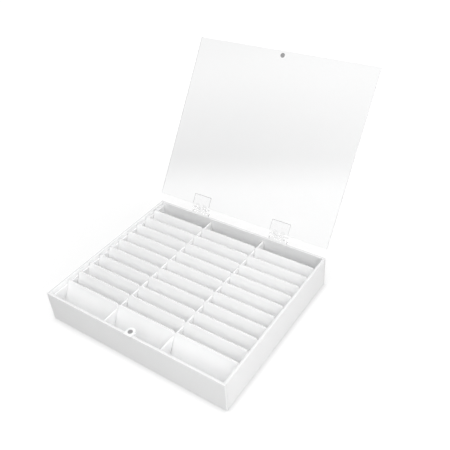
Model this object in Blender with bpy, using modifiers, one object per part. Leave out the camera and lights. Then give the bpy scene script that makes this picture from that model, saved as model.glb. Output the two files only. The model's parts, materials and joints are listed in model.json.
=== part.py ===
"""Organizer for folded glasses: an opal acrylic tray with thirty leaning dividers in three columns,
under a clear acrylic lid that swings on two moulded hinges and shuts on a pair of magnets.

Metres, +Z up. The origin is the middle of the underside, the front wall faces -Y, and the lid
stands open against the stop of its hinges.
"""

import math

import bmesh
import bpy
from mathutils import Matrix, Vector

# Tray
TRAY_WIDTH = 0.450
TRAY_DEPTH = 0.388
TRAY_HEIGHT = 0.072
WALL_THICKNESS = 0.005
FLOOR_THICKNESS = 0.005
PANEL_EDGE = 0.0004  # chamfer along every polished edge of the thick sheet
GAP = 0.0003  # between faces that are glued or rest on each other

# Rails that carry the dividers
COLUMNS = 3
RAIL_THICKNESS = 0.003
RAIL_DROP = 0.010  # rim down to the rails' tops
RAIL_WEB = 0.008  # uncut height under the slots

# Dividers
ROWS = 10
DIVIDER_THICKNESS = 0.003
DIVIDER_DROP = 0.002  # rim down to the dividers' highest edge
DIVIDER_LEAN = math.radians(28)  # back from upright
DIVIDER_CORNER = 0.005
FRONT_BAY = 0.0178  # front wall to the middle of the first divider's foot
REAR_BAY = 0.0677  # middle of the last divider's foot to the back wall
THIN_EDGE = 0.0003  # chamfer along the edges of the thin sheet

# Catch
TAB_WIDTH = 0.0186
TAB_DEPTH = 0.0218
TAB_THICKNESS = 0.005
TAB_LIP = 0.0008  # how far the tab stands out of the front wall
MAGNET_DIAMETER = 0.010
MAGNET_THICKNESS = 0.003
MAGNET_EDGE = 0.0003
MAGNET_SETBACK = 0.010  # front wall's outer face to the magnets' axis

# Lid
LID_THICKNESS = 0.004
LID_CORNER = 0.002
LID_OPEN = math.radians(124.3)  # from shut, against the stop

# Hinges
HINGE_SPACING = 0.2135
HINGE_WIDTH = 0.046
LEAF_THICKNESS = 0.0025
LEAF_LENGTH = 0.032  # pin axis to the leaf's free end
LEAF_CORNER = 0.0015
KNUCKLES = 5
KNUCKLE_DIAMETER = 0.0072
KNUCKLE_GAP = 0.0004
GUSSET_ANGLE = math.radians(130)  # where the gusset leaves the knuckle's round
PIN_OFFSET = 0.0066  # pin axis to the leaf's mounting face
PIN_DIAMETER = 0.003
PIN_EDGE = 0.0003
BORE_CLEARANCE = 0.0001
SWING_CLEARANCE = 0.0004
HEEL_THICKNESS = 0.003
SHOULDER_WIDTH = 0.003
SHOULDER_SETBACK = 0.0005  # pin axis to the shoulder's end face
HEEL_OVERLAP = 0.002  # height of the heel's bearing on the shoulder

# Facets and shading
ROUND_STEPS = 32
CORNER_STEPS = 4
SMOOTH_BELOW = math.radians(30)  # faces that meet flatter than this are shaded as one
EDGE_ANGLE = math.radians(60)  # edges sharper than this are polished on the lid
AXIS_MARK = 0.02

# Places that follow from the sizes above
PIN_Y = TRAY_DEPTH / 2 + GAP + PIN_OFFSET
PIN_Z = TRAY_HEIGHT + GAP + LID_THICKNESS + GAP + PIN_OFFSET
KNUCKLE_RADIUS = KNUCKLE_DIAMETER / 2
LEAF_START = math.hypot(KNUCKLE_RADIUS, PIN_OFFSET) + SWING_CLEARANCE
RAIL_TOP = TRAY_HEIGHT - RAIL_DROP
RAIL_FOOT = FLOOR_THICKNESS + GAP
OUTER_RAIL_X = TRAY_WIDTH / 2 - WALL_THICKNESS - GAP - RAIL_THICKNESS / 2
COLUMN_PITCH = 2 * OUTER_RAIL_X / COLUMNS
DIVIDER_PITCH = (TRAY_DEPTH - 2 * WALL_THICKNESS - FRONT_BAY - REAR_BAY) / (ROWS - 1)
SLOT_HALF = DIVIDER_THICKNESS / 2 + GAP
LEAN_SIN = math.sin(DIVIDER_LEAN)
LEAN_COS = math.cos(DIVIDER_LEAN)
DIVIDER_FOOT_Z = RAIL_FOOT + DIVIDER_THICKNESS / 2 * LEAN_SIN
SLOT_BOTTOM = (RAIL_FOOT + RAIL_WEB + SLOT_HALF * LEAN_SIN - DIVIDER_FOOT_Z) / LEAN_COS


def clear_scene():
    for old in list(bpy.data.objects):
        bpy.data.objects.remove(old, do_unlink=True)


def new_collection(name):
    collection = bpy.data.collections.new(name)
    bpy.context.scene.collection.children.link(collection)
    return collection


def new_empty(name, location):
    empty = bpy.data.objects.new(name, None)
    empty.empty_display_size = AXIS_MARK
    empty.location = location
    parts.objects.link(empty)
    return empty


def new_material(name, color, roughness, metallic=0.0, alpha=1.0, transmission=0.0):
    material = bpy.data.materials.new(name)
    material.use_nodes = True
    shader = material.node_tree.nodes["Principled BSDF"]
    shader.inputs["Base Color"].default_value = (*color, 1)
    shader.inputs["Roughness"].default_value = roughness
    shader.inputs["Metallic"].default_value = metallic
    shader.inputs["Alpha"].default_value = alpha
    shader.inputs["Transmission Weight"].default_value = transmission
    return material


def place(obj, parent, location, material):
    """Puts a finished piece under its empty, at a place measured from that empty."""
    obj.parent = parent
    obj.location = location
    if not obj.data.materials:
        obj.data.materials.append(material)
    return obj


def arc(center, radius, start, end, steps):
    """Points along an arc, both ends included. Angles are in radians."""
    turn = (end - start) / steps
    return [
        (
            center[0] + radius * math.cos(start + turn * i),
            center[1] + radius * math.sin(start + turn * i),
        )
        for i in range(steps + 1)
    ]


def sheet_curve(name, outline, thickness, edge):
    """A flat outline in the local XY plane, cut from sheet, with its edges chamfered inwards."""
    curve = bpy.data.curves.new(name, "CURVE")
    curve.dimensions = "2D"
    curve.fill_mode = "BOTH"
    curve.extrude = thickness / 2 - edge
    curve.bevel_depth = edge
    curve.bevel_resolution = 0
    curve.offset = -edge
    spline = curve.splines.new("POLY")
    spline.points.add(len(outline) - 1)
    for point, (x, y) in zip(spline.points, outline):
        point.co = (x, y, 0, 1)
    spline.use_cyclic_u = True
    return curve


def sheet_piece(name, outline, thickness, edge):
    piece = bpy.data.objects.new(name, sheet_curve(name, outline, thickness, edge))
    parts.objects.link(piece)
    return piece


def as_mesh(curve_object, collection):
    """The same piece as a closed mesh, which can be cut and joined."""
    graph = bpy.context.evaluated_depsgraph_get()
    mesh = bpy.data.meshes.new_from_object(curve_object.evaluated_get(graph))
    merged = bmesh.new()
    merged.from_mesh(mesh)
    bmesh.ops.remove_doubles(merged, verts=merged.verts, dist=1e-6)
    bmesh.ops.recalc_face_normals(merged, faces=merged.faces)
    merged.to_mesh(mesh)
    merged.free()
    name = curve_object.name
    matrix = curve_object.matrix_world.copy()
    bpy.data.objects.remove(curve_object, do_unlink=True)
    mesh.name = name
    solid = bpy.data.objects.new(name, mesh)
    solid.matrix_world = matrix
    collection.objects.link(solid)
    return solid


def mesh_piece(name, shape, collection):
    mesh = bpy.data.meshes.new(name)
    shape.to_mesh(mesh)
    shape.free()
    piece = bpy.data.objects.new(name, mesh)
    collection.objects.link(piece)
    return piece


def rectangle(width, height):
    return [
        (-width / 2, -height / 2),
        (width / 2, -height / 2),
        (width / 2, height / 2),
        (-width / 2, height / 2),
    ]


def block_shape(low, high):
    """A bmesh box between two corners."""
    low = Vector(low)
    high = Vector(high)
    size = high - low
    shape = bmesh.new()
    bmesh.ops.create_cube(shape, size=1)
    bmesh.ops.scale(shape, vec=size, verts=shape.verts)
    bmesh.ops.translate(shape, vec=(low + high) / 2, verts=shape.verts)
    return shape


def upright(edge):
    ends = edge.verts
    return abs((ends[0].co - ends[1].co).normalized().z) > math.cos(SMOOTH_BELOW)


def disc_shape(diameter, thickness, edge):
    """A round disc standing on the local XY plane, its rims chamfered."""
    shape = bmesh.new()
    bmesh.ops.create_cone(
        shape,
        cap_ends=True,
        segments=ROUND_STEPS,
        radius1=diameter / 2,
        radius2=diameter / 2,
        depth=thickness,
    )
    bmesh.ops.translate(shape, vec=(0, 0, thickness / 2), verts=shape.verts)
    rims = [e for e in shape.edges if not upright(e)]
    if edge:
        bmesh.ops.bevel(
            shape, geom=rims, offset=edge, segments=1, profile=0.5, affect="EDGES", material=-1
        )
    return shape


def round_corners(shape, edges, radius):
    bmesh.ops.bevel(
        shape,
        geom=edges,
        offset=radius,
        segments=CORNER_STEPS,
        profile=0.5,
        affect="EDGES",
        material=-1,
    )


def hide_cutter(cutter):
    cutter.hide_render = True
    cutter.display_type = "WIRE"


def combine(piece, other, operation):
    """Cuts or joins another closed mesh into a piece. The other object stays as a hidden helper."""
    hide_cutter(other)
    modifier = piece.modifiers.new(other.name, "BOOLEAN")
    modifier.operation = operation
    modifier.solver = "EXACT"
    modifier.object = other


def shade_round(piece):
    piece.data.shade_smooth()
    piece.data.set_sharp_from_angle(angle=SMOOTH_BELOW)


# Tray: five panels of opal sheet. The front and back walls run the full width, the side walls
# stand between them, and the floor lies inside all four.
def make_tray():
    inside_depth = TRAY_DEPTH - 2 * WALL_THICKNESS - 2 * GAP
    inside_width = TRAY_WIDTH - 2 * WALL_THICKNESS - 2 * GAP
    floor_outline = rectangle(inside_width, inside_depth)
    floor = sheet_piece("floor_panel", floor_outline, FLOOR_THICKNESS, PANEL_EDGE)
    place(floor, tray, (0, 0, FLOOR_THICKNESS / 2), opal)

    back_outline = rectangle(TRAY_WIDTH, TRAY_HEIGHT)
    back = sheet_piece("back_wall", back_outline, WALL_THICKNESS, PANEL_EDGE)
    back.rotation_euler = (math.pi / 2, 0, 0)
    wall_y = TRAY_DEPTH / 2 - WALL_THICKNESS / 2
    place(back, tray, (0, wall_y, TRAY_HEIGHT / 2), opal)

    notch_half = TAB_WIDTH / 2 + GAP
    notch_floor = TRAY_HEIGHT / 2 - TAB_THICKNESS - GAP
    front_outline = back_outline[:3] + [
        (notch_half, TRAY_HEIGHT / 2),
        (notch_half, notch_floor),
        (-notch_half, notch_floor),
        (-notch_half, TRAY_HEIGHT / 2),
        back_outline[3],
    ]
    front = sheet_piece("front_wall", front_outline, WALL_THICKNESS, PANEL_EDGE)
    front.rotation_euler = (math.pi / 2, 0, 0)
    place(front, tray, (0, -wall_y, TRAY_HEIGHT / 2), opal)

    side_outline = rectangle(inside_depth, TRAY_HEIGHT)
    side_x = TRAY_WIDTH / 2 - WALL_THICKNESS / 2
    for name, x in (("left_wall", -side_x), ("right_wall", side_x)):
        side = sheet_piece(name, side_outline, WALL_THICKNESS, PANEL_EDGE)
        side.rotation_euler = (math.pi / 2, 0, math.pi / 2)
        place(side, tray, (x, 0, TRAY_HEIGHT / 2), opal)


def foot_y(row):
    """Where the middle plane of a divider meets its foot."""
    return -TRAY_DEPTH / 2 + WALL_THICKNESS + FRONT_BAY + row * DIVIDER_PITCH


def slot_outline(row):
    """The slot's four corners, from the rail's top at the front round to its top at the back."""

    def corner(side, along):
        y = foot_y(row) + along * LEAN_SIN + side * SLOT_HALF * LEAN_COS
        return (y, DIVIDER_FOOT_Z + along * LEAN_COS - side * SLOT_HALF * LEAN_SIN)

    def along_at_top(side):
        return (RAIL_TOP - DIVIDER_FOOT_Z + side * SLOT_HALF * LEAN_SIN) / LEAN_COS

    return [
        corner(-1, along_at_top(-1)),
        corner(-1, SLOT_BOTTOM),
        corner(1, SLOT_BOTTOM),
        corner(1, along_at_top(1)),
    ]


# Rails: thin sheet on edge, from the front wall to the back wall, cut like a comb. The slots lean
# back and are open at the top, so that the dividers slide in from above.
def make_rails():
    end_y = TRAY_DEPTH / 2 - WALL_THICKNESS - GAP
    outline = [(-end_y, RAIL_TOP)]
    for row in range(ROWS):
        outline += slot_outline(row)
    outline += [(end_y, RAIL_TOP), (end_y, RAIL_FOOT), (-end_y, RAIL_FOOT)]
    names = ["left_rail"]
    names += [f"column_rail_{number}" for number in range(1, COLUMNS)]
    names += ["right_rail"]
    for number, name in enumerate(names):
        rail = sheet_piece(name, outline, RAIL_THICKNESS, THIN_EDGE)
        rail.rotation_euler = (math.pi / 2, 0, math.pi / 2)
        place(rail, tray, (-OUTER_RAIL_X + number * COLUMN_PITCH, 0, 0), opal)


def divider_outline():
    """Round upper corners, ends that stand in the slots, and shoulders that rest on their bottoms."""
    half = COLUMN_PITCH / 2 - GAP
    foot_half = (COLUMN_PITCH - RAIL_THICKNESS) / 2 - GAP
    top = (TRAY_HEIGHT - DIVIDER_DROP - DIVIDER_FOOT_Z) / LEAN_COS
    top -= DIVIDER_THICKNESS / 2 * LEAN_SIN / LEAN_COS
    shoulder = SLOT_BOTTOM + GAP
    corner = (half - DIVIDER_CORNER, top - DIVIDER_CORNER)
    right_half = [(foot_half, 0), (foot_half, shoulder), (half, shoulder)]
    right_half += arc(corner, DIVIDER_CORNER, 0, math.pi / 2, CORNER_STEPS)
    return right_half + [(-x, y) for x, y in reversed(right_half)]


# Dividers: one thin sheet for each place. A folded pair of glasses stands on the floor and leans
# on the divider behind it.
def make_dividers():
    outline = divider_outline()
    curve = sheet_curve("divider", outline, DIVIDER_THICKNESS, THIN_EDGE)
    for column in range(COLUMNS):
        x = -OUTER_RAIL_X + (column + 0.5) * COLUMN_PITCH
        for row in range(ROWS):
            name = f"divider_{column + 1}_{row + 1:02d}"
            divider = bpy.data.objects.new(name, curve)
            parts.objects.link(divider)
            divider.rotation_euler = (math.pi / 2 - DIVIDER_LEAN, 0, 0)
            place(divider, tray, (x, foot_y(row), DIVIDER_FOOT_Z), opal)


def make_magnet(name, parent, location):
    magnet = mesh_piece(name, disc_shape(MAGNET_DIAMETER, MAGNET_THICKNESS, MAGNET_EDGE), parts)
    shade_round(magnet)
    return place(magnet, parent, location, nickel)


def make_pocket(name, parent, location):
    """The cutter for a magnet's pocket, twice as tall as the pocket is deep, to clear the face."""
    shape = disc_shape(MAGNET_DIAMETER + 2 * GAP, 2 * (MAGNET_THICKNESS + GAP), 0)
    pocket = mesh_piece(name, shape, cutters)
    pocket.parent = parent
    pocket.location = location
    return pocket


# Catch: a D-shaped block let into the front rim, with a magnet set flush in its top.
def make_catch():
    front_y = -TRAY_DEPTH / 2 - TAB_LIP
    radius = TAB_WIDTH / 2
    straight = TAB_DEPTH - radius
    outline = [(-radius, 0), (radius, 0)] + arc((0, straight), radius, 0, math.pi, ROUND_STEPS // 2)
    tab = as_mesh(sheet_piece("catch_tab", outline, TAB_THICKNESS, PANEL_EDGE), parts)
    place(tab, tray, (0, front_y, TRAY_HEIGHT - TAB_THICKNESS / 2), opal)
    magnet_y = -TRAY_DEPTH / 2 + MAGNET_SETBACK
    pocket_z = TRAY_HEIGHT - MAGNET_THICKNESS - GAP
    combine(tab, make_pocket("catch_pocket", tray, (0, magnet_y, pocket_z)), "DIFFERENCE")
    shade_round(tab)
    make_magnet("catch_magnet", tray, (0, magnet_y, TRAY_HEIGHT - MAGNET_THICKNESS))


# Lid: one clear sheet on the rim, with the second magnet set flush in its underside. It is placed
# as when shut, from the hinges' axis, and the axis empty turns it open.
def make_lid():
    half_width = TRAY_WIDTH / 2
    underside = TRAY_HEIGHT + GAP - PIN_Z
    back_y = TRAY_DEPTH / 2 - PIN_Y
    shape = block_shape(
        (-half_width, back_y - TRAY_DEPTH, underside), (half_width, back_y, underside + LID_THICKNESS)
    )
    round_corners(shape, [e for e in shape.edges if upright(e)], LID_CORNER)
    lid = mesh_piece("lid_panel", shape, parts)
    chamfer = lid.modifiers.new("polished_edges", "BEVEL")
    chamfer.width = PANEL_EDGE
    chamfer.segments = 1
    chamfer.limit_method = "ANGLE"
    chamfer.angle_limit = EDGE_ANGLE
    place(lid, lid_axis, (0, 0, 0), clear)
    magnet_y = -TRAY_DEPTH / 2 + MAGNET_SETBACK - PIN_Y
    pocket_z = underside - MAGNET_THICKNESS - GAP
    combine(lid, make_pocket("lid_pocket", lid_axis, (0, magnet_y, pocket_z)), "DIFFERENCE")
    make_magnet("lid_magnet", lid_axis, (0, magnet_y, underside))


def knuckle_profile():
    """One knuckle in section: local X runs from the pin towards the leaf, local Y off the panel."""
    leave = math.pi - GUSSET_ANGLE
    top = (KNUCKLE_RADIUS * math.cos(leave), KNUCKLE_RADIUS * math.sin(leave))
    plate_face = LEAF_THICKNESS - PIN_OFFSET
    gusset_foot = top[0] + (top[1] - plate_face) * math.tan(leave)
    root = LEAF_START + LEAF_THICKNESS
    return [
        (-KNUCKLE_RADIUS, -PIN_OFFSET),
        (root, -PIN_OFFSET),
        (root, plate_face),
        (gusset_foot, plate_face),
    ] + arc((0, 0), KNUCKLE_RADIUS, leave, math.pi, ROUND_STEPS // 2)


def knuckle_middle(number):
    """Where a knuckle's middle is along the pin. Knuckles are numbered from the left."""
    return (number + 0.5 - KNUCKLES / 2) * HINGE_WIDTH / KNUCKLES


def make_knuckle(name, number):
    section = sheet_piece(name, knuckle_profile(), HINGE_WIDTH / KNUCKLES - KNUCKLE_GAP, 0)
    knuckle = as_mesh(section, cutters)
    turn = Matrix(((0, 0, -1), (-1, 0, 0), (0, 1, 0))).to_4x4()
    knuckle.data.transform(Matrix.Translation((knuckle_middle(number), 0, 0)) @ turn)
    return knuckle


def make_heel(name, number):
    """The stop on a lid knuckle. It is shaped hanging down, as when the lid is open."""
    half = (HINGE_WIDTH / KNUCKLES - KNUCKLE_GAP) / 2
    face = GAP - SHOULDER_SETBACK
    middle = knuckle_middle(number)
    low = (middle - half, face, -LEAF_START - HEEL_OVERLAP)
    heel = mesh_piece(name, block_shape(low, (middle + half, face + HEEL_THICKNESS, 0)), cutters)
    heel.data.transform(Matrix.Rotation(LID_OPEN, 4, "X"))
    return heel


# Hinge leaf: a clear moulding glued to its panel. Its frame has the pin along X, the panel's
# outer face below and the leaf towards -Y, as it lies on the lid when the lid is shut.
def make_leaf(name, numbers, additions):
    shape = block_shape(
        (-HINGE_WIDTH / 2, -LEAF_LENGTH, -PIN_OFFSET),
        (HINGE_WIDTH / 2, -LEAF_START, LEAF_THICKNESS - PIN_OFFSET),
    )
    middle_y = -(LEAF_LENGTH + LEAF_START) / 2
    free_corners = [e for e in shape.edges if upright(e) and e.verts[0].co.y < middle_y]
    round_corners(shape, free_corners, LEAF_CORNER)
    leaf = mesh_piece(name, shape, parts)
    for number in numbers:
        additions = additions + [make_knuckle(f"{name}_knuckle_{number}", number)]
    bore_shape = bmesh.new()
    bmesh.ops.create_cone(
        bore_shape,
        cap_ends=True,
        segments=ROUND_STEPS,
        radius1=PIN_DIAMETER / 2 + BORE_CLEARANCE,
        radius2=PIN_DIAMETER / 2 + BORE_CLEARANCE,
        depth=2 * HINGE_WIDTH,
        matrix=Matrix.Rotation(math.pi / 2, 4, "Y"),
    )
    bore = mesh_piece(f"{name}_bore", bore_shape, cutters)
    for addition in additions:
        addition.parent = leaf
        combine(leaf, addition, "UNION")
    bore.parent = leaf
    combine(leaf, bore, "DIFFERENCE")
    return leaf


# Hinges: the lid leaf lies on the lid's outer face and the wall leaf behind the back wall, with
# their knuckles in turn along one pin. A heel under the lid leaf's knuckles comes to rest on the
# wall leaf's shoulder, and holds the lid open.
def make_hinge(side, x):
    prefix = f"hinge_{side}"
    lid_numbers = range(1, KNUCKLES, 2)
    heels = [make_heel(f"{prefix}_heel_{number}", number) for number in lid_numbers]
    lid_leaf = make_leaf(f"{prefix}_lid_leaf", lid_numbers, heels)
    place(lid_leaf, lid_axis, (x, 0, 0), hinge_plastic)

    shoulder_shape = block_shape(
        (-HINGE_WIDTH / 2, -LEAF_START - SHOULDER_WIDTH, -PIN_OFFSET),
        (HINGE_WIDTH / 2, -LEAF_START, -SHOULDER_SETBACK),
    )
    shoulder = mesh_piece(f"{prefix}_shoulder", shoulder_shape, cutters)
    wall_leaf = make_leaf(f"{prefix}_wall_leaf", range(0, KNUCKLES, 2), [shoulder])
    place(wall_leaf, tray, (x, PIN_Y, PIN_Z), hinge_plastic)
    wall_leaf.rotation_euler = Matrix.Rotation(math.pi, 3, Vector((0, 1, 1))).to_euler()

    pin_length = HINGE_WIDTH - KNUCKLE_GAP
    pin_shape = disc_shape(PIN_DIAMETER, pin_length, PIN_EDGE)
    pin_shape.transform(Matrix.Rotation(math.pi / 2, 4, "Y"))
    pin = mesh_piece(f"{prefix}_pin", pin_shape, parts)
    shade_round(pin)
    place(pin, tray, (x - pin_length / 2, PIN_Y, PIN_Z), hinge_plastic)


clear_scene()
parts = new_collection("glasses_organizer")
cutters = new_collection("cutters")
tray = new_empty("tray", (0, 0, 0))
lid_axis = new_empty("lid_axis", (0, PIN_Y, PIN_Z))
opal = new_material("opal_acrylic", (0.86, 0.87, 0.88), 0.12)
clear = new_material("clear_acrylic", (0.93, 0.95, 0.96), 0.03, alpha=0.35, transmission=0.9)
hinge_plastic = new_material("clear_plastic", (0.9, 0.92, 0.93), 0.12, alpha=0.5, transmission=0.8)
nickel = new_material("nickel_plate", (0.56, 0.57, 0.58), 0.3, metallic=1.0)
make_tray()
make_rails()
make_dividers()
make_catch()
make_lid()
make_hinge("left", -HINGE_SPACING / 2)
make_hinge("right", HINGE_SPACING / 2)
lid_axis.rotation_euler = (-LID_OPEN, 0, 0)
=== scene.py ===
import json
import math

import bmesh
import bpy
from mathutils import Matrix, Quaternion, Vector


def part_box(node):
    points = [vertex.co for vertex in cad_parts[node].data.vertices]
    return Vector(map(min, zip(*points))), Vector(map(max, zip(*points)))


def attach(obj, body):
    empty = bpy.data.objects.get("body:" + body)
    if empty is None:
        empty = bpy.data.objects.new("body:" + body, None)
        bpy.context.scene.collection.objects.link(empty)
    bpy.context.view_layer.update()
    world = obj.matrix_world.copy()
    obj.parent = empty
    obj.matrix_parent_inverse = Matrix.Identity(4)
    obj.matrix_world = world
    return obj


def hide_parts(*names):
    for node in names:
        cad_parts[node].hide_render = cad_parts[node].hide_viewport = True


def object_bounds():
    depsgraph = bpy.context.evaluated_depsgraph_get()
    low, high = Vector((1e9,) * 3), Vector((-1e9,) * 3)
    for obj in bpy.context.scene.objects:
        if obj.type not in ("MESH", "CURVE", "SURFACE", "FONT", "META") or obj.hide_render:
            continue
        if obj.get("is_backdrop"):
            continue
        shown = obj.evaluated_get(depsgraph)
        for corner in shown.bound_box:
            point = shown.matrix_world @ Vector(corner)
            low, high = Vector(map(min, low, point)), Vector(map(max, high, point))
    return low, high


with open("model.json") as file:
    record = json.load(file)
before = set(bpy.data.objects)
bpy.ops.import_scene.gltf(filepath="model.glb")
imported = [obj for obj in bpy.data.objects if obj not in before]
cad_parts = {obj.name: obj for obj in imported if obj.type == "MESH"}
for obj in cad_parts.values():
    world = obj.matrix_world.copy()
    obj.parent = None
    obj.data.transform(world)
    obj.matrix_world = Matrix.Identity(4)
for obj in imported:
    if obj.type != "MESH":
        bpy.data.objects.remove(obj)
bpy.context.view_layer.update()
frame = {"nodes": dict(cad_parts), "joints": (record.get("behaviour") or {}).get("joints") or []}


# Tray walls and floor
# Five panels of 5 mm opal acrylic sheet, cemented edge to edge: the front and back walls run the
# full width, the side walls stand between them, and the floor lies inside all four. The faces
# keep the gloss of the cast sheet, and the cut edges are polished.
OPAL_WHITE = (0.95, 0.952, 0.954)
OPAL_DEPTH = 0.004  # how far light spreads inside the opal sheet
ACRYLIC_IOR = 1.49
RIM_PAINTED_GREY = (0.82, 0.822, 0.825)  # painted shade: the walls' top rims are painted greyer than their faces
RIM_DEPTH = 0.0002  # how far down from the rim that goes
CAST_WAVE_SIZE = 0.11  # slow swell left in a cast sheet's surface
CAST_WAVE_DEPTH = 0.00006
WIPE_MARK_SIZE = 0.018  # faint marks of the cloth that wiped it
WIPED = (0.42, 0.72)  # the part of the noise over which a mark comes up
CLOUD_SIZE = 0.06  # large faint clouds in the sheet's tone
CLOUDED = (0.35, 0.7)
CLOUD_TONE = (0.93, 0.935, 0.94)


def add_node(tree, kind, settings=None, inputs=None):
    """One node, with its settings, and its inputs given as values or as another node's output."""
    node = tree.nodes.new(kind)
    for key, value in (settings or {}).items():
        setattr(node, key, value)
    for key, value in (inputs or {}).items():
        if isinstance(value, bpy.types.NodeSocket):
            tree.links.new(value, node.inputs[key])
        else:
            node.inputs[key].default_value = value
    return node


def new_group(name, amounts):
    """An empty shader group that gives a colour, a roughness and a height, and its two end nodes."""
    group = bpy.data.node_groups.new(name, "ShaderNodeTree")
    given = {"Color": "NodeSocketColor", "Roughness": "NodeSocketFloat"}
    made = {**given, "Height": "NodeSocketFloat"}
    given.update((label, "NodeSocketFloat") for label in amounts)
    for way, sockets in (("INPUT", given), ("OUTPUT", made)):
        for label, kind in sockets.items():
            group.interface.new_socket(label, in_out=way, socket_type=kind)
    return group, group.nodes.new("NodeGroupInput"), group.nodes.new("NodeGroupOutput")


def give(group, result, color, roughness, height):
    """Leads what a group has made to its way out."""
    for value, label in ((color, "Color"), (roughness, "Roughness"), (height, "Height")):
        group.links.new(value, result.inputs[label])


def noise(tree, place, size, detail=2.0, roughness=0.5):
    """Soft noise whose grains are about that size, in metres, from 0 to 1."""
    wanted = {"Vector": place, "Scale": 1 / size, "Detail": detail, "Roughness": roughness}
    return add_node(tree, "ShaderNodeTexNoise", None, wanted).outputs["Fac"]


def spread(tree, value, low, high, to_low=0.0, to_high=1.0):
    """The value carried smoothly from one range to another, and no further."""
    node = add_node(
        tree, "ShaderNodeMapRange", {"interpolation_type": "SMOOTHSTEP"}, {"Value": value}
    )
    for socket, number in zip(node.inputs[1:5], (low, high, to_low, to_high)):
        if isinstance(number, bpy.types.NodeSocket):
            tree.links.new(number, socket)
        else:
            socket.default_value = number
    return node.outputs["Result"]


def compute(tree, operation, *values):
    """What a Math node makes of the values."""
    inputs = dict(enumerate(values))
    return add_node(tree, "ShaderNodeMath", {"operation": operation}, inputs).outputs[0]


def mixed(tree, share, color, other, blend_type="MIX"):
    """A colour mixed with another, or multiplied by it, as far as the share says."""
    settings = {"data_type": "RGBA", "blend_type": blend_type}
    return add_node(tree, "ShaderNodeMix", settings, {0: share, 6: color, 7: other}).outputs[2]


sheet_finish, given, result = new_group("sheet_finish", ("Mottle", "Wipe Marks"))
spot = add_node(sheet_finish, "ShaderNodeTexCoord").outputs["Object"]
swell = noise(sheet_finish, spot, CAST_WAVE_SIZE, detail=1.0)
wiped = noise(sheet_finish, spot, WIPE_MARK_SIZE, detail=5.0, roughness=0.62)
wiped = spread(sheet_finish, wiped, *WIPED)
cloud = spread(sheet_finish, noise(sheet_finish, spot, CLOUD_SIZE, detail=3.0), *CLOUDED)
shade = compute(sheet_finish, "MULTIPLY", cloud, given.outputs["Mottle"])
toned = mixed(sheet_finish, shade, given.outputs["Color"], (*CLOUD_TONE, 1), "MULTIPLY")
amount, smoothness = given.outputs["Wipe Marks"], given.outputs["Roughness"]
marked = compute(sheet_finish, "MULTIPLY_ADD", wiped, amount, smoothness)
give(sheet_finish, result, toned, marked, swell)


def new_finish(name, group, values, shader_values, bump_depth):
    """A Principled material whose colour, roughness and bump come from a shared group."""
    finish = bpy.data.materials.new(name)
    finish.use_nodes = True
    tree = finish.node_tree
    shader = tree.nodes["Principled BSDF"]
    surface = add_node(tree, "ShaderNodeGroup", {"node_tree": group}, values)
    tree.links.new(surface.outputs["Color"], shader.inputs["Base Color"])
    tree.links.new(surface.outputs["Roughness"], shader.inputs["Roughness"])
    bump = add_node(
        tree, "ShaderNodeBump", None, {"Distance": bump_depth, "Height": surface.outputs["Height"]}
    )
    tree.links.new(bump.outputs["Normal"], shader.inputs["Normal"])
    for label, value in shader_values.items():
        shader.inputs[label].default_value = value
    return finish


opal_sheet = new_finish(
    "opal_sheet",
    sheet_finish,
    {"Color": (*OPAL_WHITE, 1), "Mottle": 0.12, "Roughness": 0.09, "Wipe Marks": 0.07},
    {
        "IOR": ACRYLIC_IOR,
        "Subsurface Weight": 0.45,
        "Subsurface Radius": (1, 1, 1),
        "Subsurface Scale": OPAL_DEPTH,
    },
    CAST_WAVE_DEPTH,
)


def dress_node(name, finish):
    """Gives a CAD piece, whose shape is right as it is, its finish."""
    slots = frame["nodes"][name].data.materials
    if len(slots):
        slots[0] = finish
    else:
        slots.append(finish)


wall_sheet_shaded_rim = opal_sheet.copy()
wall_sheet_shaded_rim.name = "wall_sheet_shaded_rim"
tree = wall_sheet_shaded_rim.node_tree
# Painted shade: the top of each wall, its rim, is painted a greyer tone than its faces.
spot = add_node(tree, "ShaderNodeTexCoord").outputs["Object"]
height = add_node(tree, "ShaderNodeSeparateXYZ", None, {0: spot}).outputs["Z"]
on_painted_rim = compute(tree, "GREATER_THAN", height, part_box("front_wall")[1].z - RIM_DEPTH)
base_color = tree.nodes["Principled BSDF"].inputs["Base Color"]
rim_painted_shade = mixed(tree, on_painted_rim, base_color.links[0].from_socket, (*RIM_PAINTED_GREY, 1))
tree.links.new(rim_painted_shade, base_color)

dress_node("floor_panel", opal_sheet)
for panel in ("front_wall", "back_wall", "left_wall", "right_wall"):
    dress_node(panel, wall_sheet_shaded_rim)


# Cement in the tray's joints
# Thin solvent cement, drawn into each joint by itself and hardened clear to white: it fills the
# seam between two panels and stands as a fine hollow bead along their inside corner.
GAP = 0.0003
WALL = 0.005
BEAD_LEG = 0.0009
BEAD_STEPS = 4
BEAD_END = 0.0006  # an upright bead stops this far under the rim
SEAM_INSET = 0.00012  # the seam lies this far under the outer faces
SEAM_FOOT = 0.0002  # and this far above the underside
CEMENT_WHITE = (0.86, 0.865, 0.87)

tray_low, tray_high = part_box("front_wall")[0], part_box("back_wall")[1]
floor_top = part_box("floor_panel")[1].z
inner_x = tray_high.x - WALL
inner_y = tray_high.y - WALL


def finished_piece(name, shape, body, finish, stands_for=()):
    """Turns a bmesh into a piece that rides on its body, with its finish on it."""
    mesh = bpy.data.meshes.new(name)
    shape.to_mesh(mesh)
    shape.free()
    mesh.materials.append(finish)
    piece = bpy.data.objects.new(name, mesh)
    bpy.context.scene.collection.objects.link(piece)
    if stands_for:
        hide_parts(*stands_for)
    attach(piece, body)
    return piece


def add_block(shape, corner, opposite):
    """A block between two opposite corners, in whichever order."""
    corner, opposite = Vector(corner), Vector(opposite)
    size = [abs(length) for length in opposite - corner]
    made = bmesh.ops.create_cube(shape, size=1)["verts"]
    bmesh.ops.scale(shape, vec=size, verts=made)
    bmesh.ops.translate(shape, vec=(corner + opposite) / 2, verts=made)


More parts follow.
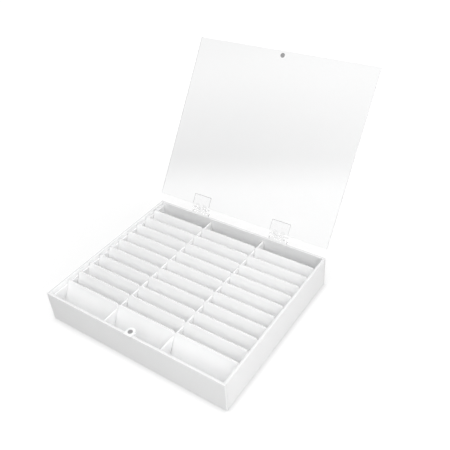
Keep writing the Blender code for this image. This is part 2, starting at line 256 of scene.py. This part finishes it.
def add_bead(shape, corner, end, side_a, side_b):
    """A hollow bead along an inside corner, from one point to another. Its legs lie along two sides."""
    corner, end = Vector(corner), Vector(end)
    side_a, side_b = Vector(side_a), Vector(side_b)
    center = corner + (side_a + side_b) * BEAD_LEG
    section = [corner]
    for step in range(BEAD_STEPS + 1):
        angle = step / BEAD_STEPS * math.pi / 2
        leg = side_b * math.cos(angle) + side_a * math.sin(angle)
        section.append(center - leg * BEAD_LEG)
    face = shape.faces.new([shape.verts.new(point) for point in section])
    grown = bmesh.ops.extrude_face_region(shape, geom=[face])["geom"]
    moved = [part for part in grown if isinstance(part, bmesh.types.BMVert)]
    bmesh.ops.translate(shape, vec=end - corner, verts=moved)


cement = new_finish(
    "solvent_cement",
    sheet_finish,
    {"Color": (*CEMENT_WHITE, 1), "Mottle": 0.3, "Roughness": 0.12, "Wipe Marks": 0.1},
    {"IOR": ACRYLIC_IOR},
    CAST_WAVE_DEPTH,
)
joints = bmesh.new()
for side in (-1, 1):
    for end in (-1, 1):
        add_block(
            joints,
            (side * inner_x, end * (inner_y - GAP), SEAM_FOOT),
            (side * (tray_high.x - SEAM_INSET), end * inner_y, tray_high.z - SEAM_INSET),
        )
        foot = (side * inner_x, end * inner_y, floor_top)
        add_bead(joints, foot, (*foot[:2], tray_high.z - BEAD_END), (-side, 0, 0), (0, -end, 0))
    add_block(
        joints,
        (side * (inner_x - GAP), -inner_y, SEAM_FOOT),
        (side * inner_x, inner_y, floor_top),
    )
    add_block(
        joints,
        (-inner_x, side * (inner_y - GAP), SEAM_FOOT),
        (inner_x, side * inner_y, floor_top),
    )
    left, right = ((end * inner_x, side * inner_y, floor_top) for end in (-1, 1))
    add_bead(joints, left, right, (0, -side, 0), (0, 0, 1))
bmesh.ops.recalc_face_normals(joints, faces=joints.faces)
finished_piece("wall_joints", joints, "tray", cement)


# Rails
# Four strips of 3 mm opal sheet on edge, sawn like combs: ten slots lean back 28 degrees and are
# open at the top. They are cemented to the floor and to the front and back walls.
for rail in ("left_rail", "column_rail_1", "column_rail_2", "right_rail"):
    dress_node(rail, opal_sheet)


# Dividers
# Thirty plates of 3 mm opal sheet with round upper corners, ten to a column. Each drops into the
# slots of the two rails beside it and leans back on them.
for column in (1, 2, 3):
    for row in range(1, 11):
        dress_node(f"divider_{column}_{row:02d}", opal_sheet)


# Catch
# A D-shaped block of 5 mm opal sheet let into the middle of the front wall, its edge polished
# round, with a nickel-plated disc magnet set flush in its top in a ring of clear glue.
TAB_EDGE = 0.0005
EDGE_STEPS = 3
MAGNET_RADIUS = 0.005
MAGNET_HEIGHT = 0.003
MAGNET_EDGE = 0.0004
MAGNET_NICKEL = (0.4, 0.4, 0.405)
STAIN_SIZE = 0.0022  # dull stains that fingers leave on the plating
STAINED = (0.38, 0.7)
STAIN_TONE = (0.6, 0.58, 0.56)
STAIN_ROUGHNESS = 0.35
PLATE_GRAIN = 0.00018
PLATE_RELIEF = 0.00001
GLUE_TONE = (0.75, 0.75, 0.74)
GLUE_IOR = 1.5
GLUE_RELIEF = 0.0002  # how uneven the glue has dried
GLUE_DEPTH = 0.0006  # the glue stands this far below the magnet's face
ROUND = 64
ALONG = 0.9  # a direction this close to an axis counts as lying along it
FLAT_FROM = 0.00001  # a face of more square metres than this is flat
SOFT_BELOW = 40  # degrees between faces, up to which a small face is shaded round
OVERCUT = 0.002  # a cutter stands out this far
SLIVER = 0.00002  # keeps two faces from falling into one
MERGE = 0.00005  # corners closer than this become one


def bevel(shape, edges, radius, steps):
    bmesh.ops.bevel(
        shape, geom=edges, offset=radius, segments=steps, profile=0.5, affect="EDGES", material=-1
    )


def is_upright(edge):
    return abs((edge.verts[0].co - edge.verts[1].co).normalized().z) > ALONG


def cut(shape, cutter):
    """Takes one closed bmesh out of another, and gives back what is left."""
    return combined(shape, cutter, "DIFFERENCE")


def combined(shape, other, operation):
    """Joins one closed bmesh to another, or cuts it with it, and uses both up."""
    pair = []
    for name, part in (("worked", shape), ("tool", other)):
        mesh = bpy.data.meshes.new(name)
        part.to_mesh(mesh)
        part.free()
        pair.append(bpy.data.objects.new(name, mesh))
        bpy.context.scene.collection.objects.link(pair[-1])
    step = pair[0].modifiers.new("step", "BOOLEAN")
    step.operation, step.solver, step.object = operation, "EXACT", pair[1]
    graph = bpy.context.evaluated_depsgraph_get()
    made = bpy.data.meshes.new_from_object(pair[0].evaluated_get(graph))
    merged = bmesh.new()
    merged.from_mesh(made)
    for used in pair:
        bpy.data.objects.remove(used, do_unlink=True)
    bpy.data.meshes.remove(made)
    return merged


def disc(radius, low, high, edge=0.0):
    """A round disc on the Z axis, its rims rounded."""
    shape = bmesh.new()
    bmesh.ops.create_cone(
        shape, cap_ends=True, segments=ROUND, radius1=radius, radius2=radius, depth=high - low
    )
    bmesh.ops.translate(shape, vec=(0, 0, (low + high) / 2), verts=shape.verts)
    if edge:
        bevel(shape, [e for e in shape.edges if not is_upright(e)], edge, EDGE_STEPS)
    return shape


def ring(outer, inner, low, high):
    """A flat ring on the Z axis."""
    return cut(disc(outer, low, high), disc(inner, low - OVERCUT, high + OVERCUT))


def smooth(piece, below=SOFT_BELOW):
    """Shades the rounded edges smooth and leaves the broad faces flat, as a sheet's are."""
    piece.data.shade_smooth()
    piece.data.set_sharp_from_angle(angle=math.radians(below))
    for face in piece.data.polygons:
        face.use_smooth = face.area < FLAT_FROM
    return piece


plated_metal, given, result = new_group("plated_metal", ("Dulling",))
spot = add_node(plated_metal, "ShaderNodeTexCoord").outputs["Object"]
stain = spread(plated_metal, noise(plated_metal, spot, STAIN_SIZE, detail=3.0), *STAINED)
dulled = compute(plated_metal, "MULTIPLY", stain, given.outputs["Dulling"])
color = mixed(plated_metal, dulled, given.outputs["Color"], (*STAIN_TONE, 1), "MULTIPLY")
dull = compute(plated_metal, "MULTIPLY_ADD", dulled, STAIN_ROUGHNESS, given.outputs["Roughness"])
give(plated_metal, result, color, dull, noise(plated_metal, spot, PLATE_GRAIN, detail=2.0))

nickel = new_finish(
    "nickel_plate",
    plated_metal,
    {"Color": (*MAGNET_NICKEL, 1), "Roughness": 0.3, "Dulling": 0.5},
    {"Metallic": 1.0},
    PLATE_RELIEF,
)

tab_low, tab_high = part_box("catch_tab")
tab_width = tab_high.x - tab_low.x
magnet_low, magnet_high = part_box("catch_magnet")
magnet_spot = (magnet_low + magnet_high) / 2
magnet_spot.z = tab_high.z
tab = bmesh.new()
add_block(tab, tab_low, tab_high)
rear = [e for e in tab.edges if is_upright(e) and e.verts[0].co.y > magnet_spot.y]
bevel(tab, rear, tab_width / 2 - SLIVER, ROUND // 4)
bmesh.ops.remove_doubles(tab, verts=tab.verts, dist=MERGE)
bevel(tab, [e for e in tab.edges if not is_upright(e)], TAB_EDGE, EDGE_STEPS)
pocket = disc(MAGNET_RADIUS + GAP, -MAGNET_HEIGHT - GAP, OVERCUT)
bmesh.ops.translate(pocket, vec=magnet_spot, verts=pocket.verts)
tab = cut(tab, pocket)
smooth(finished_piece("tab_block", tab, "tray", opal_sheet, ["catch_tab"]))

clear_glue = new_finish(
    "clear_glue",
    sheet_finish,
    {"Color": (*GLUE_TONE, 1), "Mottle": 0.6, "Roughness": 0.15, "Wipe Marks": 0.2},
    {"IOR": GLUE_IOR},
    GLUE_RELIEF,
)


def glued_magnet(name, node, body, turn, up):
    """A magnet in its pocket, its face on the local XY plane, and the glue round its lower half."""
    low, high = sorted((0, -up * MAGNET_HEIGHT))
    magnet = disc(MAGNET_RADIUS, low, high, MAGNET_EDGE)
    magnet.transform(turn)
    smooth(finished_piece(f"{name}_magnet_disc", magnet, body, nickel, [node]))
    low, high = sorted((-up * GLUE_DEPTH, -up * MAGNET_HEIGHT))
    glue = ring(MAGNET_RADIUS + GAP - SLIVER, MAGNET_RADIUS - SLIVER, low, high)
    glue.transform(turn)
    smooth(finished_piece(f"{name}_magnet_glue", glue, body, clear_glue))


glued_magnet("tab", "catch_magnet", "tray", Matrix.Translation(magnet_spot), 1)


# Lid
# One sheet of 4 mm clear cast acrylic the size of the tray, with small round corners and polished
# edges. It is drawn lying shut, measured from the hinges' pins, and turned open with them. The
# second magnet is glued into a blind pocket in its underside.
LID_SHEET = 0.004
LID_CORNER = 0.002
CORNER_STEPS = 8
LID_EDGE = 0.0005
CLEAR_TINT = (0.955, 0.957, 0.958)
EDGE_PAINTED_LIGHT = (0.86, 0.862, 0.865)  # painted light: the clear sheet's edges are painted an opaque pale grey for the light they gather

hinge = frame["joints"][0]
pin = Vector(hinge["pos_m"])
open_lid = Matrix.Translation(pin) @ Matrix.Rotation(-math.radians(hinge["range_deg"][1]), 4, "X")
lid_low = Vector((tray_low.x, tray_low.y, tray_high.z + GAP)) - pin
lid_high = Vector((tray_high.x, tray_high.y, tray_high.z + GAP + LID_SHEET)) - pin

clear_sheet = new_finish(
    "clear_sheet",
    sheet_finish,
    {"Color": (*CLEAR_TINT, 1), "Mottle": 0.05, "Roughness": 0.004, "Wipe Marks": 0.006},
    {"IOR": ACRYLIC_IOR, "Transmission Weight": 1.0},
    CAST_WAVE_DEPTH,
)

polished_edge_painted_light = new_finish(
    "polished_edge_painted_light",
    sheet_finish,
    {"Color": (*EDGE_PAINTED_LIGHT, 1), "Mottle": 0.2, "Roughness": 0.12, "Wipe Marks": 0.1},
    {"IOR": ACRYLIC_IOR},
    CAST_WAVE_DEPTH,
)

lid = bmesh.new()
add_block(lid, lid_low, lid_high)
bevel(lid, [e for e in lid.edges if is_upright(e)], LID_CORNER, CORNER_STEPS)
bevel(lid, [e for e in lid.edges if not is_upright(e)], LID_EDGE, EDGE_STEPS)
lid_magnet_spot = Vector((magnet_spot.x, magnet_spot.y - pin.y, lid_low.z))
pocket = disc(MAGNET_RADIUS + GAP, -OVERCUT, MAGNET_HEIGHT + GAP)
bmesh.ops.translate(pocket, vec=lid_magnet_spot, verts=pocket.verts)
lid = cut(lid, pocket)
# Painted light: the lid's side faces, away from the magnet's pocket, take the opaque pale grey edge
# finish.
for face in lid.faces:
    from_magnet = (face.calc_center_median() - lid_magnet_spot).length
    face.material_index = abs(face.normal.z) < ALONG and from_magnet > 2 * MAGNET_RADIUS
lid.transform(open_lid)
lid_piece = smooth(finished_piece("lid_sheet", lid, "lid", clear_sheet, ["lid_panel"]))
lid_piece.data.materials.append(polished_edge_painted_light)
lid_piece.visible_shadow = False

glued_magnet("lid", "lid_magnet", "lid", open_lid @ Matrix.Translation(lid_magnet_spot), -1)


# Hinges
# Two hinges moulded in clear plastic, glued on: one leaf lies on the lid's outer face and one
# behind the back wall, and their knuckles take turns along a pin of the same plastic. A heel under
# the lid leaf's knuckles comes to rest on the wall leaf's shoulder and holds the lid open.
LEAF_WIDTH = 0.046
LEAF_SHEET = 0.0025
LEAF_LENGTH = 0.032
LEAF_CORNER = 0.0015
LEAF_STEPS = 6
KNUCKLES = 5
KNUCKLE_RADIUS = 0.0036
KNUCKLE_GAP = 0.0004
PIN_OFFSET = 0.0066
PIN_RADIUS = 0.0015
BORE_RADIUS = 0.0016
LEAF_START = math.hypot(KNUCKLE_RADIUS, PIN_OFFSET) + KNUCKLE_GAP
GUSSET_ANGLE = math.radians(130)
HEEL_SHEET = 0.003
SHOULDER_WIDTH = 0.003
SHOULDER_SETBACK = 0.0005
HEEL_OVERLAP = 0.002
MOULD_EDGE = 0.00035
MOULD_STEPS = 2
MOULD_SOFT_BELOW = 30  # degrees, as SOFT_BELOW
MOULD_WAVE = 0.0003
RIM_WIDTH = 0.0009  # the leaf's rounded free edge, painted dark grey as a painted shade for the light it bends away
EJECTOR_RADIUS = 0.0022
EJECTOR_DEPTH = 0.00025
EJECTOR_PLACE = 0.66  # of the leaf's length
MOULDED_TINT = (0.76, 0.762, 0.765)
# Painted shade: a dark, half opaque grey on the clear leaves' sides and free rims.
MOULDED_EDGE_PAINTED_SHADE = (0.16, 0.162, 0.165)

moulded_clear = new_finish(
    "moulded_clear",
    sheet_finish,
    {"Color": (*MOULDED_TINT, 1), "Mottle": 0.5, "Roughness": 0.03, "Wipe Marks": 0.05},
    {"IOR": ACRYLIC_IOR, "Transmission Weight": 1.0, "Alpha": 0.1},
    MOULD_WAVE,
)
moulded_edge_painted_shade = new_finish(
    "moulded_edge_painted_shade",
    sheet_finish,
    {"Color": (*MOULDED_EDGE_PAINTED_SHADE, 1), "Mottle": 0.3, "Roughness": 0.2, "Wipe Marks": 0.1},
    {"IOR": ACRYLIC_IOR, "Alpha": 0.44},
    MOULD_WAVE,
)


def span(number):
    """Where one of the knuckles begins and ends along the pin."""
    middle = (number + 0.5 - KNUCKLES / 2) * LEAF_WIDTH / KNUCKLES
    half = (LEAF_WIDTH / KNUCKLES - KNUCKLE_GAP) / 2
    return middle - half, middle + half


def knuckle(number):
    """One knuckle with its gusset, pin along X, the panel's face below and the leaf towards -Y."""
    start, end = span(number)
    leave = math.pi - GUSSET_ANGLE
    top = (KNUCKLE_RADIUS * math.cos(leave), KNUCKLE_RADIUS * math.sin(leave))
    plate_face = LEAF_SHEET - PIN_OFFSET
    root = LEAF_START + LEAF_SHEET
    outline = [(-KNUCKLE_RADIUS, -PIN_OFFSET), (root, -PIN_OFFSET), (root, plate_face)]
    outline.append((top[0] + (top[1] - plate_face) * math.tan(leave), plate_face))
    steps = ROUND // 2
    for step in range(steps + 1):
        angle = leave + (math.pi - leave) * step / steps
        outline.append((KNUCKLE_RADIUS * math.cos(angle), KNUCKLE_RADIUS * math.sin(angle)))
    shape = bmesh.new()
    face = shape.faces.new([shape.verts.new((start, -x, z)) for x, z in outline])
    grown = bmesh.ops.extrude_face_region(shape, geom=[face])["geom"]
    moved = [part for part in grown if isinstance(part, bmesh.types.BMVert)]
    bmesh.ops.translate(shape, vec=(end - start, 0, 0), verts=moved)
    bmesh.ops.recalc_face_normals(shape, faces=shape.faces)
    return shape


def leaf(numbers, additions):
    """A leaf with those knuckles and additions, laid as knuckle() lays them, bored for the pin."""
    shape = bmesh.new()
    add_block(
        shape,
        (-LEAF_WIDTH / 2, -LEAF_LENGTH, -PIN_OFFSET),
        (LEAF_WIDTH / 2, -LEAF_START, LEAF_SHEET - PIN_OFFSET),
    )
    free = [e for e in shape.edges if is_upright(e) and e.verts[0].co.y < -LEAF_LENGTH / 2]
    bevel(shape, free, LEAF_CORNER, LEAF_STEPS)
    bmesh.ops.bisect_plane(
        shape,
        geom=[*shape.verts, *shape.edges, *shape.faces],
        plane_co=(0, RIM_WIDTH - LEAF_LENGTH, 0),
        plane_no=(0, 1, 0),
    )
    for side in (-1, 1):
        dimple = disc(EJECTOR_RADIUS, -EJECTOR_DEPTH, OVERCUT)
        spot = (side * LEAF_WIDTH / 4, -LEAF_LENGTH * EJECTOR_PLACE, LEAF_SHEET - PIN_OFFSET)
        bmesh.ops.translate(dimple, vec=spot, verts=dimple.verts)
        shape = cut(shape, dimple)
    for number in numbers:
        shape = combined(shape, knuckle(number), "UNION")
    for addition in additions:
        shape = combined(shape, addition, "UNION")
    bore = disc(BORE_RADIUS, -LEAF_WIDTH, LEAF_WIDTH)
    bore.transform(Matrix.Rotation(math.pi / 2, 4, "Y"))
    return cut(shape, bore)


def heel(number):
    """The stop on a lid knuckle, drawn hanging down as when the lid is open."""
    start, end = span(number)
    front = GAP - SHOULDER_SETBACK
    shape = bmesh.new()
    add_block(
        shape, (start, front, -LEAF_START - HEEL_OVERLAP), (end, front + HEEL_SHEET, 0)
    )
    shape.transform(Matrix.Rotation(math.radians(hinge["range_deg"][1]), 4, "X"))
    return shape


def moulded_piece(name, shape, body, node, turn):
    """A hinge leaf turned to its place, its edges softened by the mould. Its sides and rim carry a
    painted shade: they are painted dark grey.
    """
    piece = finished_piece(name, shape, body, moulded_clear, [node])
    piece.data.materials.append(moulded_edge_painted_shade)
    # Painted shade: the leaf's outer sides and its free rim take the dark grey edge finish.
    for face in piece.data.polygons:
        at_side = abs(face.normal.x) > ALONG and abs(face.center.x) > LEAF_WIDTH / 2 - GAP
        face.material_index = face.center.y < -LEAF_START and (
            at_side or face.center.y < RIM_WIDTH - LEAF_LENGTH
        )
    piece.data.transform(turn)
    rounding = piece.modifiers.new("moulded_edges", "BEVEL")
    rounding.width = MOULD_EDGE
    rounding.segments = MOULD_STEPS
    rounding.limit_method = "ANGLE"
    rounding.angle_limit = math.radians(SOFT_BELOW)
    return smooth(piece, MOULD_SOFT_BELOW)


for side in ("left", "right"):
    low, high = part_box(f"hinge_{side}_pin")
    across = Matrix.Translation(((low.x + high.x) / 2, 0, 0))
    lid_leaf = leaf((1, 3), [heel(1), heel(3)])
    moulded_piece(f"{side}_lid_leaf", lid_leaf, "lid", f"hinge_{side}_lid_leaf", open_lid @ across)
    shoulder = bmesh.new()
    add_block(
        shoulder,
        (-LEAF_WIDTH / 2, -LEAF_START - SHOULDER_WIDTH, -PIN_OFFSET),
        (LEAF_WIDTH / 2, -LEAF_START, -SHOULDER_SETBACK),
    )
    wall_leaf = leaf((0, 2, 4), [shoulder])
    hung = Matrix.Translation(pin) @ across @ Matrix.Rotation(math.pi, 4, Vector((0, 1, 1)))
    moulded_piece(f"{side}_wall_leaf", wall_leaf, "tray", f"hinge_{side}_wall_leaf", hung)
    half = (high.x - low.x) / 2
    rod = disc(PIN_RADIUS, -half, half, MOULD_EDGE)
    rod.transform(Matrix.Translation(pin) @ across @ Matrix.Rotation(math.pi / 2, 4, "Y"))
    rod = finished_piece(
        f"{side}_hinge_rod", rod, "tray", moulded_clear, [f"hinge_{side}_pin"]
    )
    smooth(rod)


# Table and studio
# A plain white table that runs out of sight, under soft lamps overhead and around. To the camera
# and in reflections the table and the backdrop are white, and the box keeps its soft shadow, cast
# by the lamps and deepened at its foot by a painted contact shadow. Through the lid the table
# shows a painted shade: a soft grey band that stands for the dimmer room behind it.
scene = bpy.context.scene
scene.view_settings.view_transform = "Standard"

TABLE_REACH = 60  # metres to each side
TABLE_DROP = 0.0001  # keeps the table's face clear of the box's underside
TABLE_TONE = 0.4
GLOW_NEAR = 0.62  # what the camera sees besides the lit table, beside the box
GLOW_FAR = 1.0  # and where the lamps' light has died away
GLOW_FAR_IN_LID = 0.86  # painted shade: the far table is painted greyer where it is seen through the lid
GLOW_REACH = (0.35, 1.4)
ROOM_HEADING = 0.52  # painted shade of a dim room: a grey band painted on the table, seen only through the lid, lies square to this slope, behind the box
ROOM_DIM_STARTS = (0.45, 0.72)  # it shows through the lid from here
ROOM_DIM_ENDS = (0.85, 3.2)  # and fades from here
ROOM_SIDE = (-0.2, 0.6)  # it is darker towards the left
ROOM_DIM_LEFT = 0.17
ROOM_DIM_RIGHT = 0.13
CONTACT_REACH = 0.018  # painted contact shadow: how far the box's foot darkens the table's glow
CONTACT_DEPTH = 0.75  # and how much, where nothing else reaches it

table_shape = bmesh.new()
bmesh.ops.create_grid(table_shape, x_segments=1, y_segments=1, size=TABLE_REACH)
bmesh.ops.translate(table_shape, vec=(0, 0, -TABLE_DROP), verts=table_shape.verts)
table_mesh = bpy.data.meshes.new("table")
table_shape.to_mesh(table_mesh)
table_shape.free()
table = bpy.data.objects.new("table", table_mesh)
scene.collection.objects.link(table)
table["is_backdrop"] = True


def is_seen(tree):
    """1 for what the camera sees, straight or by way of gloss or glass."""
    path = add_node(tree, "ShaderNodeLightPath").outputs
    seen = compute(tree, "MAXIMUM", path["Is Camera Ray"], path["Is Glossy Ray"])
    seen = compute(tree, "MAXIMUM", seen, path["Is Transmission Ray"])
    return seen


white_table = bpy.data.materials.new("white_table")
white_table.use_nodes = True
tree = white_table.node_tree
tree.nodes.clear()
spot = add_node(tree, "ShaderNodeTexCoord").outputs["Object"]
away = add_node(tree, "ShaderNodeVectorMath", {"operation": "LENGTH"}, {0: spot}).outputs["Value"]
path = add_node(tree, "ShaderNodeLightPath").outputs
through, straight = path["Is Transmission Ray"], path["Is Camera Ray"]
far = spread(tree, through, 0, 1, GLOW_FAR, GLOW_FAR_IN_LID)
glow = spread(tree, away, *GLOW_REACH, GLOW_NEAR, far)
place = add_node(tree, "ShaderNodeSeparateXYZ", None, {0: spot}).outputs
# Painted shade: where the lid shows the table behind the box, a grey band is painted in for the dimmer
# room.
behind = compute(tree, "MULTIPLY_ADD", place["X"], -ROOM_HEADING, place["Y"])
beside = compute(tree, "MULTIPLY_ADD", place["Y"], ROOM_HEADING, place["X"])
dim = spread(tree, beside, *ROOM_SIDE, ROOM_DIM_LEFT, ROOM_DIM_RIGHT)
starts = spread(tree, behind, *ROOM_DIM_STARTS)
ends = spread(tree, behind, *ROOM_DIM_ENDS, 1, 0)
for share in (starts, ends, through):
    dim = compute(tree, "MULTIPLY", dim, share)
glow = compute(tree, "SUBTRACT", glow, dim)
# Painted shadow: near the box's foot, the glow that the camera sees is darkened by ambient occlusion.
painted_contact_shade = add_node(tree, "ShaderNodeAmbientOcclusion", None, {"Distance": CONTACT_REACH})
painted_contact_shade = spread(tree, painted_contact_shade.outputs["AO"], 0, 1, 1 - CONTACT_DEPTH, 1)
glow = compute(tree, "MULTIPLY", glow, spread(tree, straight, 0, 1, 1, painted_contact_shade))
lift = compute(tree, "MULTIPLY", is_seen(tree), glow)
matt = add_node(tree, "ShaderNodeBsdfDiffuse", None, {"Color": (TABLE_TONE,) * 3 + (1,)})
glow = add_node(tree, "ShaderNodeEmission", None, {"Strength": lift})
both = add_node(tree, "ShaderNodeAddShader", None, {0: matt.outputs[0], 1: glow.outputs[0]})
add_node(tree, "ShaderNodeOutputMaterial", None, {"Surface": both.outputs[0]})
table_mesh.materials.append(white_table)

AMBIENT = 0.12
AMBIENT_TONE = 0.8
world = bpy.data.worlds.new("studio")
scene.world = world
world.use_nodes = True
tree = world.node_tree
tree.nodes.clear()
dull = {"Color": (AMBIENT_TONE,) * 3 + (1,), "Strength": AMBIENT}
white = {"Color": (1, 1, 1, 1), "Strength": 1.0}
room = add_node(tree, "ShaderNodeBackground", None, dull).outputs[0]
backdrop = add_node(tree, "ShaderNodeBackground", None, white).outputs[0]
sky = add_node(tree, "ShaderNodeMixShader", None, {0: is_seen(tree), 1: room, 2: backdrop})
add_node(tree, "ShaderNodeOutputWorld", None, {"Surface": sky.outputs[0]})


LAMP_SIZE = 1.4
LAMP_DISTANCE = 2.0
LAMP_AIM = Vector((0, 0, 0.05))


def softbox(name, heading, height, power, distance=LAMP_DISTANCE):
    """A square soft lamp that faces the tray's middle, placed by two angles in degrees.

    Gloss and glass don't show it.
    """
    heading, height = math.radians(heading), math.radians(height)
    level = math.cos(height)
    place = Vector((math.cos(heading) * level, math.sin(heading) * level, math.sin(height)))
    lamp = bpy.data.lights.new(name, "AREA")
    lamp.shape = "SQUARE"
    lamp.size = LAMP_SIZE
    lamp.energy = power
    holder = bpy.data.objects.new(name, lamp)
    holder.location = place * distance
    holder.rotation_mode = "QUATERNION"
    holder.rotation_quaternion = (LAMP_AIM - holder.location).to_track_quat("-Z", "Y")
    holder.visible_glossy = holder.visible_transmission = False
    scene.collection.objects.link(holder)


softbox("overhead_softbox", heading=-90, height=83, power=10.4)
softbox("rear_overhead", heading=90, height=72, power=3.2, distance=1.2)
softbox("front_softbox", heading=-90, height=45, power=9)
softbox("corner_softbox", heading=-45, height=45, power=9)
softbox("corner_panel", heading=-45, height=8, power=11.5)
softbox("right_softbox", heading=0, height=25, power=8.5)
softbox("right_panel", heading=0, height=8, power=6.5)
softbox("left_softbox", heading=180, height=45, power=6)
softbox("back_softbox", heading=90, height=45, power=6)

FOCAL_LENGTH = 46.516  # millimetres
SENSOR_WIDTH = 36
SHIFT = (0.0238, -0.0033)
AZIMUTH, ELEVATION, ROLL = math.radians(37.861), math.radians(36.821), math.radians(5.21)
CAMERA_PLACE = (0.61831, -0.68739, 0.89298)

camera_data = bpy.data.cameras.new("camera")
camera_data.sensor_width = SENSOR_WIDTH
camera_data.lens = FOCAL_LENGTH
camera_data.shift_x, camera_data.shift_y = SHIFT
camera = bpy.data.objects.new("camera", camera_data)
level = math.cos(ELEVATION)
towards = Vector((math.sin(AZIMUTH) * level, -math.cos(AZIMUTH) * level, math.sin(ELEVATION)))
camera.location = CAMERA_PLACE
camera.rotation_mode = "QUATERNION"
camera.rotation_quaternion = (-towards).to_track_quat("-Z", "Y") @ Quaternion((0, 0, 1), -ROLL)
scene.collection.objects.link(camera)
scene.camera = camera

low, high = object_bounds()
